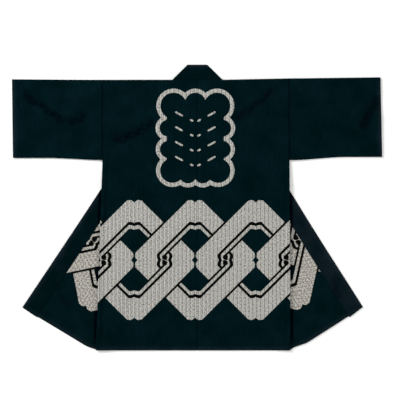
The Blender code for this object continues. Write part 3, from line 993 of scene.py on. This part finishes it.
def neck_half(side, sizes):
    """One half of the band round the neck: its cut, and its place after its end is turned.

    Rows run from the neck seam up. Columns run from the centre to the fold, round the fold,
    and along the end that is turned under.
    """
    base = side.y_neck + NECK_RISE
    rows = shares(NECK_ROWS)[:, None]
    up = base - NECK_LAP + rows * (COLLAR_TOP - base + NECK_LAP)
    outward = (math.sqrt(0.5), math.sqrt(0.5))
    slant = side.neck - (up - side.y_neck)
    before = slant - FOLD_REACH / outward[0]
    after = before + FOLD_ARC / outward[0]
    tail = TAIL_LENGTHS[0] + rows * (TAIL_LENGTHS[1] - TAIL_LENGTHS[0])
    across = np.hstack((
        before * shares(NECK_COLUMNS),
        before + (after - before) * shares(sizes.fold_steps + 1)[1:],
        after + tail * shares(TAIL_COLUMNS)[1:],
    ))
    up = np.broadcast_to(up, across.shape)
    placed = fold_under(across, up, (side.neck, side.y_neck), outward, level(3))
    placed[..., 2] -= LAYER * smooth((placed[..., 1] - base) / (COLLAR_TOP - base))
    # Where it covers the neck seam the band lies on the back
    lap = sizes.cloth * smooth((base - up) / NECK_LAP + 0.5)
    placed[..., 2] += np.where((up < base) & (placed[..., 2] > level(2.5)), lap, 0.0)
    placed[..., 0] *= side.sign
    return placed, np.stack((side.sign * across, up), axis=-1)


def build_collar_neck(sizes, material):
    """Collar round the neck: the band above the neck seam, turned under at each end."""
    (left, left_cut), (right, right_cut) = [neck_half(side, sizes) for side in SIDES]
    middle = (left[:, :1] + right[:, :1]) / 2
    band = np.concatenate((left[:, :0:-1], middle, right[:, 1:]), axis=1)
    cut = np.concatenate((left_cut[:, :0:-1], right_cut), axis=1)
    x, y, z = np.moveaxis(band, -1, 0)
    upper = np.clip((z - level(2)) / LAYER, 0.0, 1.0)
    # The doubled band stands a little proud of the back, with a rounded free edge
    seam = cut[0, :, 1].mean()
    share = (cut[..., 1] - seam) / (COLLAR_TOP - seam)
    plump = NECK_PLUMP * np.sqrt(np.clip(1.0 - np.abs(2.0 * share - 1.0) ** 6, 0.0, 1.0))
    band[..., 2] = np.maximum(z + relief(x, y, sizes.swell) + plump * upper, sizes.cloth / 2)
    # The worn edge is kept narrow on this short band
    edge = COLLAR_TOP - cut[..., 1] + 0.004
    values = {"edge": edge, "fade": np.full(edge.size, NECK_FADE)}
    piece = make_cloth("collar_cloth_neck", material, band, grid_faces(number_grid(x.shape)),
                       (cut[..., 0], cut[..., 1]), values, 1.3 * sizes.cloth)
    declare(piece, "collar_neck")


# ---------------- operators

def cut_pieces(context, build, material_name, worn, patterned=False):
    """Make the piece of each side from one cloth, and return the sizes and the cloth."""
    sizes, colours = context.scene.happi_sizes, context.scene.happi_colours
    material = cloth_material(material_name, sizes, colours, getattr(colours, worn), patterned)
    for side in SIDES:
        build(side, sizes, material)
    return sizes, material


class HAPPI_OT_body(bpy.types.Operator):
    """Make both body lengths, each from back hem over the shoulder to front hem"""

    bl_idname = "happi.body"
    bl_label = "Body lengths"

    def execute(self, context):
        cut_pieces(context, build_body, "resist-dyed indigo cotton", "indigo_light", True)
        return {"FINISHED"}


class HAPPI_OT_sleeves(bpy.types.Operator):
    """Make both sleeves"""

    bl_idname = "happi.sleeves"
    bl_label = "Sleeves"

    def execute(self, context):
        cut_pieces(context, build_sleeve, "plain indigo cotton", "indigo_light")
        return {"FINISHED"}


class HAPPI_OT_collar(bpy.types.Operator):
    """Make the collar: the stretch round the neck and the run down each front edge"""

    bl_idname = "happi.collar"
    bl_label = "Collar"

    def execute(self, context):
        cloth = cut_pieces(context, build_collar_run, "indigo collar cotton", "collar_light")
        build_collar_neck(*cloth)
        return {"FINISHED"}


class HAPPI_OT_stage(bpy.types.Operator):
    """Make the pale floor, the soft light and the camera above the coat"""

    bl_idname = "happi.stage"
    bl_label = "Stage"

    def execute(self, context):
        make_floor(context.scene.happi_colours)
        make_lights()
        make_camera()
        return {"FINISHED"}


# Stage: the view is 1.4 m wide at the floor, seen from straight above through a long lens
VIEW_WIDTH = 1.400
VIEW_CENTRE = (0.0103, 0.0266)
CAMERA_HEIGHT = 4.2
SENSOR = 36.0              # millimetres
FLOOR_HALF = 6.0
FLOOR_DEPTH = 0.0004       # the paper lies this far below the coat


def make_floor(colours):
    """Plain matt floor, like seamless paper."""
    mesh = bpy.data.meshes.new("floor")
    corners = ((-1, -1), (1, -1), (1, 1), (-1, 1))
    mesh.from_pydata([(x * FLOOR_HALF, y * FLOOR_HALF, -FLOOR_DEPTH) for x, y in corners], [],
                     [(0, 1, 2, 3)])
    floor = bpy.data.objects.new("floor", mesh)
    bpy.context.scene.collection.objects.link(floor)
    paper = bpy.data.materials.new("seamless paper")
    paper.use_nodes = True
    shader = paper.node_tree.nodes["Principled BSDF"]
    shader.inputs["Base Color"].default_value = colour(colours.floor)
    shader.inputs["Roughness"].default_value = 0.95
    shader.inputs["Specular IOR Level"].default_value = 0.0
    mesh.materials.append(paper)


# Soft studio light: place of each lamp, its width and its power in watts
Lamp = namedtuple("Lamp", "name x y z width power")
LAMPS = (
    Lamp("key softbox", -3.0, 2.4, 2.2, 1.6, 190.0),
    Lamp("fill softbox", 2.8, -1.6, 3.0, 2.4, 70.0),
)


def make_lights():
    """A bright even surround and two softboxes that rake across the creases."""
    world = bpy.data.worlds.new("studio")
    world.use_nodes = True
    background = world.node_tree.nodes["Background"]
    background.inputs["Color"].default_value = (1.0, 1.0, 1.0, 1.0)
    background.inputs["Strength"].default_value = 0.55
    bpy.context.scene.world = world
    for lamp in LAMPS:
        light = bpy.data.lights.new(lamp.name, "AREA")
        light.size = lamp.width
        light.energy = lamp.power
        made = bpy.data.objects.new(lamp.name, light)
        made.location = (lamp.x, lamp.y, lamp.z)
        away = made.location.copy()
        made.rotation_mode = "QUATERNION"
        made.rotation_quaternion = away.to_track_quat("Z", "Y")
        bpy.context.scene.collection.objects.link(made)


def make_camera():
    """Camera straight above the coat, with its hem at the bottom of the view."""
    camera = bpy.data.cameras.new("camera")
    camera.sensor_width = SENSOR
    camera.lens = SENSOR * CAMERA_HEIGHT / VIEW_WIDTH
    camera.clip_end = 50.0
    made = bpy.data.objects.new("camera", camera)
    made.location = (VIEW_CENTRE[0], VIEW_CENTRE[1], CAMERA_HEIGHT)
    bpy.context.scene.collection.objects.link(made)
    bpy.context.scene.camera = made
    bpy.context.scene.view_settings.view_transform = "Standard"


class HAPPI_PT_panel(bpy.types.Panel):
    """Sizes, colours and the coat's pieces"""

    bl_idname = "HAPPI_PT_panel"
    bl_label = "Happi coat"
    bl_space_type = "VIEW_3D"
    bl_region_type = "UI"
    bl_category = "Happi coat"

    def draw(self, context):
        for group in (context.scene.happi_sizes, context.scene.happi_colours):
            box = self.layout.box()
            for key in group.__annotations__:
                box.prop(group, key)
        for operator in OPERATORS:
            self.layout.operator(operator.bl_idname)


GROUPS = (HappiSizes, HappiColours)
OPERATORS = (HAPPI_OT_body, HAPPI_OT_sleeves, HAPPI_OT_collar, HAPPI_OT_stage)
CLASSES = (*GROUPS, *OPERATORS, HAPPI_PT_panel)


def register():
    """Register the classes and hang the settings on the scene."""
    for made in CLASSES:
        bpy.utils.register_class(made)
    bpy.types.Scene.happi_sizes = PointerProperty(type=HappiSizes)
    bpy.types.Scene.happi_colours = PointerProperty(type=HappiColours)


def unregister():
    """Undo register."""
    del bpy.types.Scene.happi_colours
    del bpy.types.Scene.happi_sizes
    for made in reversed(CLASSES):
        bpy.utils.unregister_class(made)


def main():
    """Build the coat piece by piece, then the stage."""
    register()
    bpy.ops.happi.body()
    bpy.ops.happi.sleeves()
    bpy.ops.happi.collar()
    bpy.ops.happi.stage()


if __name__ == "__main__":
    main()
